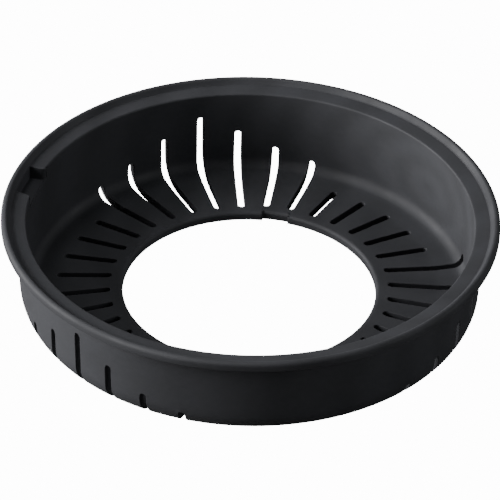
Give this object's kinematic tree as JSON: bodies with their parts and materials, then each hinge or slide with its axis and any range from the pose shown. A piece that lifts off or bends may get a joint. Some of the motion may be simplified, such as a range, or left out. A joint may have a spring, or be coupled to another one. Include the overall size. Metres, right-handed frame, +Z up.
{
  "type": "slotted drain ring for a kitchen garbage disposal",
  "caption": "Slotted drain ring that hangs in a round sink outlet round a disposer's throat: flanged bowl with a round throat in its floor and drain slots that climb the wall.",
  "frame": {"origin": "on the ring's axis, in the lowest plane, which is the flat band it stands on", "axes": "+Z up along the ring's axis, out of the bowl; +Y towards the notch in the throat's edge; -X close to the key pocket in the ledge, which is 4 degrees off it towards +Y"},
  "size_m": [0.18, 0.18, 0.037],
  "materials": {
    "ring": "fine moulded satin, near black"
  },
  "bodies": {
    "root": {"drain_ring": "ring"}
  },
  "joints": []
}
